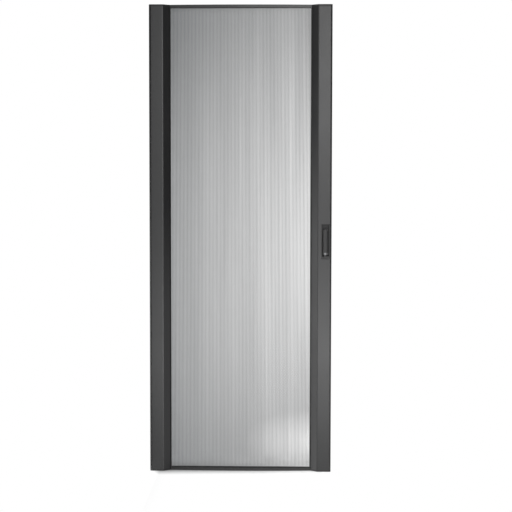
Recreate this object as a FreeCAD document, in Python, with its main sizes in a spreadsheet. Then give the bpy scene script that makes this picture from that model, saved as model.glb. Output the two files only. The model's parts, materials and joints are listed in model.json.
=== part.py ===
import FreeCAD, Part
import math
import os
import types

import Sketcher

# Perforated front door of a rack cabinet, in millimetres.
# The origin is on the hinge axis at the door's lower edge, +X points to the handle side,
# -Y is the front and +Z is up.
SIZES = {
    # the door as a whole
    "door_width": 748.0,
    "door_height": 1918.0,
    "door_depth": 46.0,
    "hinge_inset": 16.0,
    "hinge_setback": 14.0,
    # folded stiles
    "stile_gauge": 1.5,
    "face_width": 57.0,
    "bevel_run": 26.0,
    "bevel_depth": 22.0,
    "return_depth": 14.0,
    "rear_lip": 24.0,
    "corner_radius": 9.0,
    "bend_radius": 8.0,
    "fold_radius": 3.0,
    # end caps
    "cap_height": 8.0,
    "plug_depth": 10.0,
    "plug_clearance": 0.3,
    # perforated panel
    "panel_gauge": 1.2,
    "panel_bow": 12.0,
    "panel_flange": 12.0,
    "panel_fold": 2.5,
    "column_pitch": 5.67,
    "slot_width": 4.0,
    "side_margin": 5.0,
    "rim_height": 12.0,
    "tie_height": 3.0,
    # rails
    "rail_gauge": 1.5,
    "rail_height": 12.0,
    "rail_gap": 0.1,
    # hinges
    "bush_bore_radius": 4.05,
    "bush_wall": 2.45,
    "bush_flange_radius": 9.0,
    "bush_flange": 2.5,
    "bush_clearance": 0.1,
    "bracket_gauge": 3.0,
    "bracket_width": 28.0,
    "bracket_leaf": 40.0,
    "bracket_length": 24.0,
    # handle dish
    "handle_inset": 26.5,
    "spindle_height": 998.0,
    "dish_left": 16.5,
    "dish_right": 19.0,
    "dish_top": 27.0,
    "dish_bottom": 117.0,
    "dish_depth": 18.0,
    "dish_wall": 1.5,
    "dish_fit": 0.3,
    "dish_corner": 4.0,
    "floor_thickness": 2.5,
    "flange_overlap": 2.0,
    "flange_thickness": 2.0,
    "flange_chamfer": 1.0,
    "gasket_thickness": 0.8,
    "land_height": 12.0,
    "keeper_width": 10.0,
    "keeper_foot": 4.5,
    "keeper_lip": 3.0,
    "boss_radius": 9.0,
    "boss_height": 6.0,
    # handle spindle and grip
    "running_clearance": 0.05,
    "end_play": 0.1,
    "spindle_radius": 5.0,
    "spindle_square": 7.0,
    "hub_radius": 8.5,
    "hub_height": 7.0,
    "tongue_thickness": 6.0,
    "tongue_width": 7.0,
    "tongue_clearance": 0.2,
    "grip_width": 16.5,
    "grip_thickness": 12.5,
    "grip_clearance": 0.5,
    "grip_skin": 2.2,
    "grip_round": 3.0,
    "pin_radius": 2.0,
    # lock in the grip
    "lock_drop": 94.0,
    "barrel_radius": 5.5,
    "barrel_rim": 6.5,
    "barrel_proud": 0.8,
    "plug_radius": 4.0,
    "plug_recess": 0.3,
    "plug_square": 4.0,
    "keyway_width": 1.4,
    "keyway_height": 5.0,
    "keyway_depth": 5.0,
    "cam_thickness": 2.5,
    "cam_width": 8.0,
    "cam_hook": 3.5,
    "cam_clearance": 0.3,
    "cam_screw_head": 0.8,
    "cam_screw_radius": 3.0,
    # crank and latch rods
    "spacer_length": 6.0,
    "spacer_radius": 8.0,
    "crank_radius": 14.0,
    "crank_width": 13.0,
    "crank_thickness": 3.0,
    "drive_pin_radius": 2.5,
    "drive_pin_head": 3.8,
    "drive_pin_cap": 1.75,
    "drive_clearance": 0.6,
    "crank_screw_radius": 1.5,
    "crank_screw_head": 3.0,
    "crank_screw_length": 6.0,
    "crank_thread_depth": 9.0,
    "crank_washer_radius": 3.5,
    "rod_width": 16.0,
    "rod_thickness": 3.0,
    "rod_offset": 12.2,
    "rod_gap": 0.5,
    "yoke_wall": 3.0,
    "jog_drop": 40.0,
    "tip_length": 30.0,
    "tip_wall": 2.0,
    "tip_socket": 20.0,
    "tip_gap": 2.0,
    "tip_taper": 3.0,
    "guide_height": 26.0,
    "guide_wall": 2.5,
    "guide_clearance": 0.3,
    "guide_boss": 4.0,
    "end_guide_inset": 90.0,
    "middle_guide_reach": 430.0,
    # dish clamps and their screws
    "clamp_gauge": 2.0,
    "clamp_width": 16.0,
    "clamp_seat": 12.0,
    "clamp_reach": 12.0,
    "clamp_screw_radius": 2.0,
    "clamp_screw_head": 3.5,
    "screw_head_height": 2.2,
    "screw_clearance": 0.05,
    # ground stud and bumpers
    "ground_height": 160.0,
    "stud_radius": 3.0,
    "stud_end_radius": 2.5,
    "stud_show": 0.6,
    "stud_length": 18.0,
    "stud_foot_radius": 5.0,
    "stud_foot": 1.0,
    "ground_washer_radius": 6.2,
    "ground_washer": 1.4,
    "ground_nut_width": 10.0,
    "ground_nut_height": 5.0,
    "bumper_radius": 6.0,
    "bumper_height": 3.0,
    "bumper_chamfer": 0.8,
    "bumper_inset": 13.0,
    "bumper_height_from_end": 260.0,
}
SLOT_ROWS = 3
HEX_SIDES = 6
QUARTER = 45


class Size:
    """A number together with the expression that ties it to the sheet."""

    def __init__(self, value, text):
        self.value = value
        self.text = text

    def joined(self, sign, other, value):
        return Size(value, f"({self.text} {sign} {other.text})")

    def __add__(self, other):
        other = as_size(other)
        return self.joined("+", other, self.value + other.value)

    def __sub__(self, other):
        other = as_size(other)
        return self.joined("-", other, self.value - other.value)

    def __mul__(self, other):
        other = as_size(other)
        return self.joined("*", other, self.value * other.value)

    def __truediv__(self, other):
        other = as_size(other)
        return self.joined("/", other, self.value / other.value)

    def __radd__(self, other):
        return as_size(other) + self

    def __rsub__(self, other):
        return as_size(other) - self

    def __rmul__(self, other):
        return as_size(other) * self

    def __neg__(self):
        return as_size(0) - self


def as_size(number):
    return number if isinstance(number, Size) else Size(float(number), f"({float(number)})")


def tangent(angle):
    return Size(math.tan(math.radians(angle.value)), f"tan({angle.text})")


def angle_of(rise, run):
    slope = rise / run
    return Size(math.degrees(math.atan(slope.value)), f"atan({slope.text})")


def root(square):
    return Size(math.sqrt(square.value), f"sqrt({square.text})")


def whole(number):
    return Size(float(math.floor(number.value)), f"floor({number.text})")


def cosine(degrees):
    return math.cos(math.radians(degrees))


def sine(degrees):
    return math.sin(math.radians(degrees))


doc = FreeCAD.newDocument("RackDoor")
sheet = doc.addObject("Spreadsheet::Sheet", "Sizes")
d = types.SimpleNamespace()
for row, (alias, number) in enumerate(SIZES.items(), start=1):
    sheet.set(f"A{row}", alias)
    sheet.set(f"B{row}", str(number))
    sheet.setAlias(f"B{row}", alias)
    setattr(d, alias, Size(number, f"Sizes.{alias}"))
doc.recompute()

# Places that several pieces share
left_edge = -d.hinge_inset
right_edge = d.door_width - d.hinge_inset
rear_plane = d.hinge_setback
front_plane = d.hinge_setback - d.door_depth
stile_width = d.face_width + d.bevel_run
bevel_angle = angle_of(d.bevel_depth, d.bevel_run)
return_angle = angle_of(d.bevel_run, d.bevel_depth)
panel_edge = front_plane + d.bevel_depth
panel_left = left_edge + stile_width
panel_width = d.door_width - 2 * stile_width
bow_radius = (panel_width * panel_width / 4 + d.panel_bow * d.panel_bow) / (2 * d.panel_bow)
bow_centre = bow_radius - d.panel_bow

# Depths of the handle's layers, measured back from the stile's face
spindle_x = right_edge - d.handle_inset
handle_origin = (spindle_x, front_plane, d.spindle_height)
flange_front = -(d.gasket_thickness + d.flange_thickness)
floor_back = d.dish_depth + d.floor_thickness
boss_front = d.dish_depth - d.boss_height
hub_back = boss_front - d.end_play
hub_front = hub_back - d.hub_height
grip_back = flange_front - d.grip_clearance
grip_front = grip_back - d.grip_thickness
grip_radius = d.grip_width / 2
pin_depth = grip_back - d.grip_thickness / 2
crank_front = floor_back + d.spacer_length
crank_back = crank_front + d.crank_thickness
rod_front = crank_back + d.rod_gap
rod_back = rod_front + d.rod_thickness
step_front = grip_back - d.cam_thickness - d.cam_screw_head - d.cam_clearance - d.end_play
cam_front = step_front + d.cam_clearance
cam_back = cam_front + d.cam_thickness
cam_reach = grip_radius + d.cam_hook
dish_body_top = d.dish_top - d.flange_overlap
dish_body_bottom = d.dish_bottom - d.flange_overlap

# The drive pins start a quarter of a half turn from level, so both rods move alike
pin_rise = d.crank_radius * sine(QUARTER)
pin_reach = d.crank_radius * cosine(QUARTER)
rod_near = d.rod_offset - d.rod_width / 2
rod_far = d.rod_offset + d.rod_width / 2
slot_half = d.drive_pin_radius + d.drive_clearance
yoke_end = pin_rise - slot_half - d.yoke_wall
tip_clear = d.cap_height + d.plug_depth + d.tip_gap

nodes = []
cuts = []


def new_body(label, origin):
    """A named piece whose local origin is placed by the sheet."""
    body = doc.addObject("PartDesign::Body", label)
    body.Label = label
    for axis, size in zip("xyz", origin):
        body.setExpression(f"Placement.Base.{axis}", as_size(size).text)
    nodes.append(body)
    return body


def add_sketch(body, plane, height=0):
    """A sketch on one of the body's own planes, raised along that plane's normal."""
    sketch = body.newObject("Sketcher::SketchObject", "Sketch")
    support = next(part for part in body.Origin.OriginFeatures if part.Role == plane)
    sketch.AttachmentSupport = [(support, "")]
    sketch.MapMode = "FlatFace"
    sketch.setExpression("AttachmentOffset.Base.z", as_size(height).text)
    return sketch


def front_sketch(body, depth):
    """A sketch seen from the front, at a depth behind the body's origin."""
    return add_sketch(body, "XZ_Plane", -as_size(depth))


def tie(sketch, constraint, size):
    index = sketch.addConstraint(constraint)
    sketch.setExpression(f"Constraints[{index}]", size.text)


def tie_point(sketch, geometry, position, point, ways="XY"):
    for way, size in zip("XY", point):
        if way in ways:
            rule = Sketcher.Constraint("Distance" + way, -1, 1, geometry, position, size.value)
            tie(sketch, rule, size)


def vector(point):
    return FreeCAD.Vector(point[0].value, point[1].value, 0)


def draw_outline(sketch, corners, arcs=None):
    """A closed outline through the corners, with arcs given as {segment: (centre, turns left)}."""
    corners = [tuple(as_size(size) for size in corner) for corner in corners]
    arcs = arcs or {}
    ends = []
    for index, start in enumerate(corners):
        end = corners[(index + 1) % len(corners)]
        if index not in arcs:
            geometry = sketch.addGeometry(Part.LineSegment(vector(start), vector(end)))
            ends.append((geometry, 1, 2))
            continue
        centre, turns_left = arcs[index]
        centre = tuple(as_size(size) for size in centre)
        first, last = (start, end) if turns_left else (end, start)
        spokes = [vector(corner) - vector(centre) for corner in (first, last)]
        angles = [math.atan2(spoke.y, spoke.x) for spoke in spokes]
        circle = Part.Circle(vector(centre), FreeCAD.Vector(0, 0, 1), spokes[0].Length)
        geometry = sketch.addGeometry(Part.ArcOfCircle(circle, *angles))
        ends.append((geometry, 1, 2) if turns_left else (geometry, 2, 1))
        chord = vector(end) - vector(start)
        tie_point(sketch, geometry, 3, centre, "Y" if abs(chord.x) > abs(chord.y) else "X")
    for index, (geometry, start, end) in enumerate(ends):
        following, next_start, _ = ends[(index + 1) % len(ends)]
        sketch.addConstraint(Sketcher.Constraint("Coincident", geometry, end, following, next_start))
        tie_point(sketch, geometry, start, corners[index])


def draw_box(sketch, low, high):
    draw_outline(sketch, [low, (high[0], low[1]), high, (low[0], high[1])])


def draw_circle(sketch, centre, radius):
    centre = tuple(as_size(size) for size in centre)
    radius = as_size(radius)
    circle = Part.Circle(vector(centre), FreeCAD.Vector(0, 0, 1), radius.value)
    geometry = sketch.addGeometry(circle)
    tie_point(sketch, geometry, 3, centre)
    tie(sketch, Sketcher.Constraint("Radius", geometry, radius.value), radius)


def extrude(body, sketch, length, turned=False):
    """Adds the sketch's outline, along its normal or the other way when turned."""
    feature = body.newObject("PartDesign::Pad", "Pad")
    feature.Profile = sketch
    feature.Reversed = turned
    feature.setExpression("Length", as_size(length).text)
    return feature


def cut(body, sketch, length, turned=False):
    """Removes the sketch's outline, against its normal or along it when turned."""
    feature = body.newObject("PartDesign::Pocket", "Pocket")
    feature.Profile = sketch
    feature.Reversed = turned
    feature.setExpression("Length", as_size(length).text)
    cuts.append(feature)
    return feature


def turn(body, plane, axis, corners):
    """Revolves an outline about one of its sketch's axes."""
    sketch = add_sketch(body, plane)
    draw_outline(sketch, corners)
    feature = body.newObject("PartDesign::Revolution", "Revolution")
    feature.Profile = sketch
    feature.ReferenceAxis = (sketch, [axis])
    feature.Angle = 360
    return feature


def dress(body, kind, size_name, size, wanted):
    """Rounds or chamfers the edges of the body's last feature that the test picks."""
    doc.recompute()
    base = body.Tip
    names = [f"Edge{i}" for i, edge in enumerate(base.Shape.Edges, start=1) if wanted(edge)]
    feature = body.newObject("PartDesign::" + kind, kind)
    feature.Base = (base, names)
    feature.setExpression(size_name, as_size(size).text)
    return feature


def round_edges(body, radius, wanted):
    return dress(body, "Fillet", "Radius", radius, wanted)


def near(one, other):
    return abs(one - other) < 1e-3


def along(edge, axis):
    start, end = edge.Vertexes[0].Point, edge.Vertexes[-1].Point
    return near((end - start).Length, abs(getattr(end - start, axis)))


def upright_at(*points):
    """Picks the upright edges that stand on the given plan points."""
    places = [vector(tuple(as_size(size) for size in point)) for point in points]

    def wanted(edge):
        foot = edge.CenterOfMass
        return along(edge, "z") and any(near(foot.x, p.x) and near(foot.y, p.y) for p in places)

    return wanted


def level_at(axis, *heights):
    """Picks the edges that lie wholly in a plane across the axis."""

    def wanted(edge):
        box = edge.BoundBox
        low, high = getattr(box, axis.upper() + "Min"), getattr(box, axis.upper() + "Max")
        return any(near(low, h.value) and near(high, h.value) for h in heights)

    return wanted


def stile_inset(side, inset):
    """The stile's bends, from the rear corner round to the return, moved inwards by inset."""
    bend_shift = inset * tangent(bevel_angle / 2)
    return_shift = inset * tangent(return_angle / 2)
    return [
        (side * inset, d.door_depth - inset),
        (side * inset, inset),
        (side * (d.face_width - bend_shift), inset),
        (side * (stile_width - inset), d.bevel_depth + return_shift),
    ]


def make_stile(label, side, edge):
    """A folded column: rear lip, side, face, bevel and the return that the panel is welded to."""
    body = new_body(label, (edge, front_plane, d.cap_height))
    outer = stile_inset(side, as_size(0))
    inner = stile_inset(side, d.stile_gauge)
    return_end = d.bevel_depth + d.return_depth
    corners = [(side * d.rear_lip, d.door_depth), *outer]
    corners += [(side * stile_width, return_end), (side * (stile_width - d.stile_gauge), return_end)]
    corners += [*reversed(inner), (side * d.rear_lip, d.door_depth - d.stile_gauge)]
    sketch = add_sketch(body, "XY_Plane")
    draw_outline(sketch, corners)
    extrude(body, sketch, d.door_height - 2 * d.cap_height)
    radii = (d.fold_radius, d.corner_radius, d.bend_radius, d.fold_radius)
    for outside, inside, radius in zip(outer, inner, radii):
        round_edges(body, radius, upright_at(outside))
        round_edges(body, radius - d.stile_gauge, upright_at(inside))
    return body


def guide_heights():
    """Heights of the rod guides' lower faces, from the bottom up."""
    low_end = d.end_guide_inset
    high_end = d.door_height - d.end_guide_inset - d.guide_height
    low_middle = d.spindle_height - d.middle_guide_reach
    high_middle = d.spindle_height + d.middle_guide_reach
    return low_end, low_middle, high_middle, high_end


def open_right_stile(body):
    """Cuts the handle's opening and the holes that hold the rod guides."""
    spindle_up = d.spindle_height - d.cap_height
    sketch = front_sketch(body, 0)
    left = -d.handle_inset - d.dish_left + d.flange_overlap - d.dish_fit
    right = -d.handle_inset + d.dish_right - d.flange_overlap + d.dish_fit
    bottom = spindle_up - dish_body_bottom - d.dish_fit
    top = spindle_up + dish_body_top + d.dish_fit
    draw_box(sketch, (left, bottom), (right, top))
    cut(body, sketch, 2 * d.stile_gauge)
    holes = add_sketch(body, "YZ_Plane", 0)
    for height in guide_heights():
        middle = height + d.guide_height / 2 - d.cap_height
        draw_circle(holes, ((rod_front + rod_back) / 2, middle), d.guide_boss + d.guide_clearance)
    cut(body, holes, 2 * d.stile_gauge)


def make_cap(label, side, edge, upper, with_bush):
    """A moulded cap that closes a stile's end, with a plug that fits inside the fold."""
    way = -1 if upper else 1
    body = new_body(label, (edge, front_plane, d.door_height if upper else 0))
    inset = d.stile_gauge + d.plug_clearance
    inner = stile_inset(side, inset)
    plug = add_sketch(body, "XY_Plane", way * d.cap_height)
    draw_outline(plug, [*inner, (side * (stile_width - inset), d.door_depth - inset)])
    extrude(body, plug, d.plug_depth, turned=upper)
    radii = (d.fold_radius, d.corner_radius, d.bend_radius, d.fold_radius)
    for corner, radius in zip(inner, radii):
        round_edges(body, radius - d.stile_gauge, upright_at(corner))
    outer = stile_inset(side, as_size(0))
    lid = add_sketch(body, "XY_Plane")
    draw_outline(lid, [*outer, (side * stile_width, d.door_depth)])
    extrude(body, lid, d.cap_height, turned=upper)
    for corner, radius in zip(outer[1:3], (d.corner_radius, d.bend_radius)):
        round_edges(body, radius, upright_at(corner))
    if with_bush:
        hole = add_sketch(body, "XY_Plane", way * (d.cap_height + d.plug_depth))
        bush_radius = d.bush_bore_radius + d.bush_wall
        draw_circle(hole, (d.hinge_inset, d.door_depth - d.hinge_setback), bush_radius + d.bush_clearance)
        cut(body, hole, d.cap_height + d.plug_depth, turned=upper)


def make_hinge(prefix, upper):
    """A welded bracket in the left stile and the bush that the cabinet's pin enters."""
    way = -1 if upper else 1
    end = d.door_height if upper else as_size(0)
    plate = d.cap_height + d.plug_depth
    bush_radius = d.bush_bore_radius + d.bush_wall
    wall = d.stile_gauge - d.hinge_inset
    bracket_rear = d.hinge_setback - d.fold_radius
    bracket = new_body(prefix + "_hinge_bracket", (0, bracket_rear, end))
    profile = front_sketch(bracket, 0)
    leaf_end = plate + d.bracket_leaf
    plate_top = plate + d.bracket_gauge
    draw_outline(profile, [
        (wall, way * plate),
        (wall + d.bracket_width, way * plate),
        (wall + d.bracket_width, way * plate_top),
        (wall + d.bracket_gauge, way * plate_top),
        (wall + d.bracket_gauge, way * leaf_end),
        (wall, way * leaf_end),
    ])
    extrude(bracket, profile, d.bracket_length)
    hole = add_sketch(bracket, "XY_Plane", way * plate_top)
    draw_circle(hole, (0, -bracket_rear), bush_radius + d.bush_clearance)
    cut(bracket, hole, d.bracket_gauge, turned=upper)
    bush = new_body(prefix + "_hinge_bush", (0, 0, end))
    bush_top = plate_top + d.bush_flange
    turn(bush, "XZ_Plane", "V_Axis", [
        (d.bush_bore_radius, 0),
        (bush_radius, 0),
        (bush_radius, way * plate_top),
        (d.bush_flange_radius, way * plate_top),
        (d.bush_flange_radius, way * bush_top),
        (d.bush_bore_radius, way * bush_top),
    ])


def bowed_front(inset):
    """Where an arc that follows the panel, moved back by inset, meets the panel's side wall."""
    radius = bow_radius - inset
    half = panel_width / 2 - inset
    return bow_centre - root(radius * radius - half * half)


def make_panel():
    """One bowed sheet with folded sides, pierced by columns of upright slots."""
    body = new_body("perforated_panel", (panel_left, panel_edge, 0))
    gauge = d.panel_gauge
    centre = (panel_width / 2, bow_centre)
    inner_edge = bowed_front(gauge)
    sketch = add_sketch(body, "XY_Plane")
    corners = [
        (0, d.panel_flange),
        (0, 0),
        (panel_width, 0),
        (panel_width, d.panel_flange),
        (panel_width - gauge, d.panel_flange),
        (panel_width - gauge, inner_edge),
        (gauge, inner_edge),
        (gauge, d.panel_flange),
    ]
    draw_outline(sketch, corners, {1: (centre, True), 5: (centre, False)})
    extrude(body, sketch, d.door_height)
    round_edges(body, d.panel_fold, upright_at(corners[1], corners[2]))
    round_edges(body, d.panel_fold - gauge, upright_at(corners[5], corners[6]))
    open_width = panel_width - 2 * d.side_margin - d.slot_width
    gaps = whole(open_width / d.column_pitch)
    first = (panel_width - gaps * d.column_pitch - d.slot_width) / 2
    slot_height = (d.door_height - 2 * d.rim_height - (SLOT_ROWS - 1) * d.tie_height) / SLOT_ROWS
    slots = front_sketch(body, -2 * d.panel_bow)
    for row in range(SLOT_ROWS):
        low = d.rim_height + row * (slot_height + d.tie_height)
        draw_box(slots, (first, low), (first + d.slot_width, low + slot_height))
    column = cut(body, slots, 2 * d.panel_bow + d.panel_flange)
    pattern = body.newObject("PartDesign::LinearPattern", "Columns")
    pattern.Originals = [column]
    pattern.Direction = (slots, ["H_Axis"])
    pattern.setExpression("Length", (gaps * d.column_pitch).text)
    pattern.setExpression("Occurrences", (gaps + 1).text)
    body.Tip = pattern


def make_rail(label, upper):
    """A folded tray behind the panel's plain rim, open towards the door's middle."""
    body = new_body(label, (panel_left, panel_edge, d.door_height if upper else 0))
    way = -1 if upper else 1
    back = d.door_depth - d.bevel_depth
    centre = (panel_width / 2, bow_centre)

    def outline(sketch, inset, rear):
        front = bowed_front(inset)
        corners = [(inset, front), (panel_width - inset, front), (panel_width - inset, rear), (inset, rear)]
        draw_outline(sketch, corners, {0: (centre, True)})
        return corners

    outside = d.panel_gauge + d.rail_gap
    inside = outside + d.rail_gauge
    plan = add_sketch(body, "XY_Plane")
    corners = outline(plan, outside, back)
    extrude(body, plan, d.rail_height, turned=upper)
    round_edges(body, d.panel_fold, upright_at(*corners[:2]))
    hollow = add_sketch(body, "XY_Plane", way * d.rail_height)
    outline(hollow, inside, back - d.rail_gauge)
    cut(body, hollow, d.rail_height - d.rail_gauge, turned=upper)


def make_dish():
    """The moulded recess of the handle, with the spindle's boss and the keeper of the lock."""
    body = new_body("handle_dish", handle_origin)
    left = d.dish_left - d.flange_overlap
    right = d.dish_right - d.flange_overlap
    shell = front_sketch(body, floor_back)
    draw_box(shell, (-left, -dish_body_bottom), (right, dish_body_top))
    extrude(body, shell, floor_back + d.gasket_thickness)
    flange = front_sketch(body, -d.gasket_thickness)
    draw_box(flange, (-d.dish_left, -d.dish_bottom), (d.dish_right, d.dish_top))
    extrude(body, flange, d.flange_thickness)
    round_edges(body, d.dish_corner, lambda edge: along(edge, "y") and edge.CenterOfMass.y < 0
                and near(edge.Length, d.flange_thickness.value))
    dress(body, "Chamfer", "Size", d.flange_chamfer, level_at("y", flange_front))
    hollow = front_sketch(body, flange_front)
    low = (d.dish_wall - left, d.land_height - d.dish_bottom)
    high = (right - d.dish_wall, dish_body_top - d.dish_wall)
    draw_box(hollow, low, high)
    cut(body, hollow, d.dish_depth - flange_front)
    boss = front_sketch(body, d.dish_depth)
    draw_circle(boss, (0, 0), d.boss_radius)
    extrude(body, boss, d.boss_height)
    bore = front_sketch(body, boss_front)
    draw_circle(bore, (0, 0), d.spindle_radius + d.running_clearance)
    cut(body, bore, d.boss_height + d.floor_thickness)
    make_keeper(body)
    screw_holes = front_sketch(body, floor_back)
    for height in clamp_screw_heights():
        draw_circle(screw_holes, (0, height), d.clamp_screw_radius + d.screw_clearance)
    cut(body, screw_holes, d.floor_thickness - d.screw_clearance, turned=True)


def make_keeper(body):
    """A foot on the dish's land with a lip that the lock's cam turns behind."""
    swept = d.lock_drop + grip_radius + d.grip_clearance
    lip_back = cam_front - d.cam_clearance
    lip_front = lip_back - d.keeper_lip
    foot_top = d.lock_drop + cam_reach + d.grip_clearance
    foot_bottom = foot_top + d.keeper_foot
    profile = add_sketch(body, "YZ_Plane", -d.keeper_width / 2)
    draw_outline(profile, [
        (flange_front, -foot_bottom),
        (flange_front, -foot_top),
        (lip_back, -foot_top),
        (lip_back, -swept),
        (lip_front, -swept),
        (lip_front, -foot_bottom),
    ])
    extrude(body, profile, d.keeper_width)


def make_gasket():
    """A thin seal between the dish's flange and the stile's face."""
    body = new_body("dish_gasket", handle_origin)
    ring = front_sketch(body, 0)
    draw_box(ring, (-d.dish_left, -d.dish_bottom), (d.dish_right, d.dish_top))
    extrude(body, ring, d.gasket_thickness)
    round_edges(body, d.dish_corner, lambda edge: along(edge, "y"))
    inside = front_sketch(body, -d.gasket_thickness)
    left = d.dish_left - d.flange_overlap + d.dish_fit
    right = d.dish_right - d.flange_overlap + d.dish_fit
    draw_box(inside, (-left, -dish_body_bottom - d.dish_fit), (right, dish_body_top + d.dish_fit))
    cut(body, inside, d.gasket_thickness)


def clamp_screw_heights():
    """Heights of the clamp screws, from the spindle."""
    half_seat = d.clamp_seat / 2
    return dish_body_top - half_seat, half_seat - dish_body_bottom


def make_clamp(label, end, way, screw_height):
    """A folded strip that bears on the stile behind the face and draws the dish in."""
    body = new_body(label, handle_origin)
    clamp_back = floor_back + d.clamp_gauge
    seat = end - way * d.clamp_seat
    reach = end + way * d.clamp_reach
    profile = add_sketch(body, "YZ_Plane", -d.clamp_width / 2)
    draw_outline(profile, [
        (floor_back, seat),
        (clamp_back, seat),
        (clamp_back, reach),
        (d.stile_gauge, reach),
        (d.stile_gauge, reach - way * d.clamp_gauge),
        (floor_back, reach - way * d.clamp_gauge),
    ])
    extrude(body, profile, d.clamp_width)
    hole = front_sketch(body, floor_back)
    draw_circle(hole, (0, screw_height), d.clamp_screw_radius + d.screw_clearance)
    cut(body, hole, d.clamp_gauge)


def make_clamp_screws():
    """Two pan-head screws, one for each clamp."""
    body = new_body("dish_screws", handle_origin)
    clamp_back = floor_back + d.clamp_gauge
    for radius, length, turned in (
        (d.clamp_screw_radius, d.clamp_gauge + d.floor_thickness - 3 * d.screw_clearance, False),
        (d.clamp_screw_head, d.screw_head_height, True),
    ):
        circles = front_sketch(body, clamp_back)
        for height in clamp_screw_heights():
            draw_circle(circles, (0, height), radius)
        extrude(body, circles, length, turned)


def make_spindle():
    """The turned hub with the grip's tongue in front and the crank's square behind."""
    body = new_body("handle_spindle", handle_origin)
    turn(body, "XY_Plane", "V_Axis", [
        (0, hub_front),
        (d.hub_radius, hub_front),
        (d.hub_radius, hub_back),
        (d.spindle_radius, hub_back),
        (d.spindle_radius, crank_front),
        (0, crank_front),
    ])
    square = front_sketch(body, crank_front)
    half = d.spindle_square / 2
    draw_box(square, (-half, -half), (half, half))
    extrude(body, square, d.crank_thickness, turned=True)
    thread = front_sketch(body, crank_back)
    draw_circle(thread, (0, 0), d.crank_screw_radius + d.screw_clearance)
    cut(body, thread, d.crank_thread_depth, turned=True)
    tongue = add_sketch(body, "YZ_Plane", -d.tongue_thickness / 2)
    half_width = d.tongue_width / 2
    corners = [
        (hub_front, -half_width),
        (hub_front, half_width),
        (pin_depth, half_width),
        (pin_depth, -half_width),
    ]
    draw_outline(tongue, corners, {2: ((pin_depth, 0), True)})
    extrude(body, tongue, d.tongue_thickness)
    eye = add_sketch(body, "YZ_Plane", d.tongue_thickness / 2)
    draw_circle(eye, (pin_depth, 0), d.pin_radius + d.running_clearance)
    cut(body, eye, d.tongue_thickness)


def make_grip():
    """The swing grip: round ends, a slot for the spindle's tongue and the lock's hole."""
    body = new_body("handle_grip", handle_origin)
    outline = front_sketch(body, grip_back)
    corners = [
        (grip_radius, -d.lock_drop),
        (grip_radius, 0),
        (-grip_radius, 0),
        (-grip_radius, -d.lock_drop),
    ]
    draw_outline(outline, corners, {1: ((0, 0), True), 3: ((0, -d.lock_drop), True)})
    extrude(body, outline, d.grip_thickness)
    round_edges(body, d.grip_round, level_at("y", grip_front))
    slot = front_sketch(body, grip_back)
    side = d.tongue_thickness / 2 + d.tongue_clearance
    draw_box(slot, (-side, -d.tongue_width), (side, d.grip_width))
    cut(body, slot, d.grip_thickness - d.grip_skin, turned=True)
    eye = add_sketch(body, "YZ_Plane", grip_radius)
    draw_circle(eye, (pin_depth, 0), d.pin_radius)
    cut(body, eye, d.grip_width)
    barrel = front_sketch(body, grip_front)
    draw_circle(barrel, (0, -d.lock_drop), d.barrel_radius)
    cut(body, barrel, d.grip_thickness)
    step = front_sketch(body, grip_back)
    step_top = cam_reach + d.grip_clearance - d.lock_drop
    draw_box(step, (-d.grip_width, -d.lock_drop - d.grip_width), (d.grip_width, step_top))
    cut(body, step, grip_back - step_front, turned=True)


def make_lock():
    """The barrel in the grip, the plug with its keyway, the hooked cam and its screw."""
    lock_origin = (spindle_x, front_plane, d.spindle_height - d.lock_drop)
    barrel_front = grip_front - d.barrel_proud
    bore = d.plug_radius + d.running_clearance
    barrel = new_body("lock_barrel", lock_origin)
    turn(barrel, "XY_Plane", "V_Axis", [
        (bore, barrel_front),
        (d.barrel_rim, barrel_front),
        (d.barrel_rim, grip_front),
        (d.barrel_radius, grip_front),
        (d.barrel_radius, step_front),
        (bore, step_front),
    ])
    plug_front = barrel_front + d.plug_recess
    plug_back = cam_front
    plug = new_body("lock_plug", lock_origin)
    turn(plug, "XY_Plane", "V_Axis", [
        (0, plug_front),
        (d.plug_radius, plug_front),
        (d.plug_radius, plug_back),
        (0, plug_back),
    ])
    half = d.plug_square / 2
    square = front_sketch(plug, plug_back)
    draw_box(square, (-half, -half), (half, half))
    extrude(plug, square, d.cam_thickness, turned=True)
    keyway = front_sketch(plug, plug_front)
    draw_box(keyway, (-d.keyway_width / 2, -d.keyway_height / 2), (d.keyway_width / 2, d.keyway_height / 2))
    cut(plug, keyway, d.keyway_depth)
    cam = new_body("lock_cam", lock_origin)
    plate = front_sketch(cam, cam_back)
    draw_box(plate, (-d.cam_width / 2, -d.cam_width / 2), (cam_reach, d.cam_width / 2))
    extrude(cam, plate, d.cam_thickness)
    round_edges(cam, d.cam_width / 4, lambda edge: along(edge, "y"))
    hole = front_sketch(cam, cam_front)
    draw_box(hole, (-half, -half), (half, half))
    cut(cam, hole, d.cam_thickness)
    screw = new_body("cam_screw", lock_origin)
    head = front_sketch(screw, cam_back)
    draw_circle(head, (0, 0), d.cam_screw_radius)
    extrude(screw, head, d.cam_screw_head, turned=True)


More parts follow.
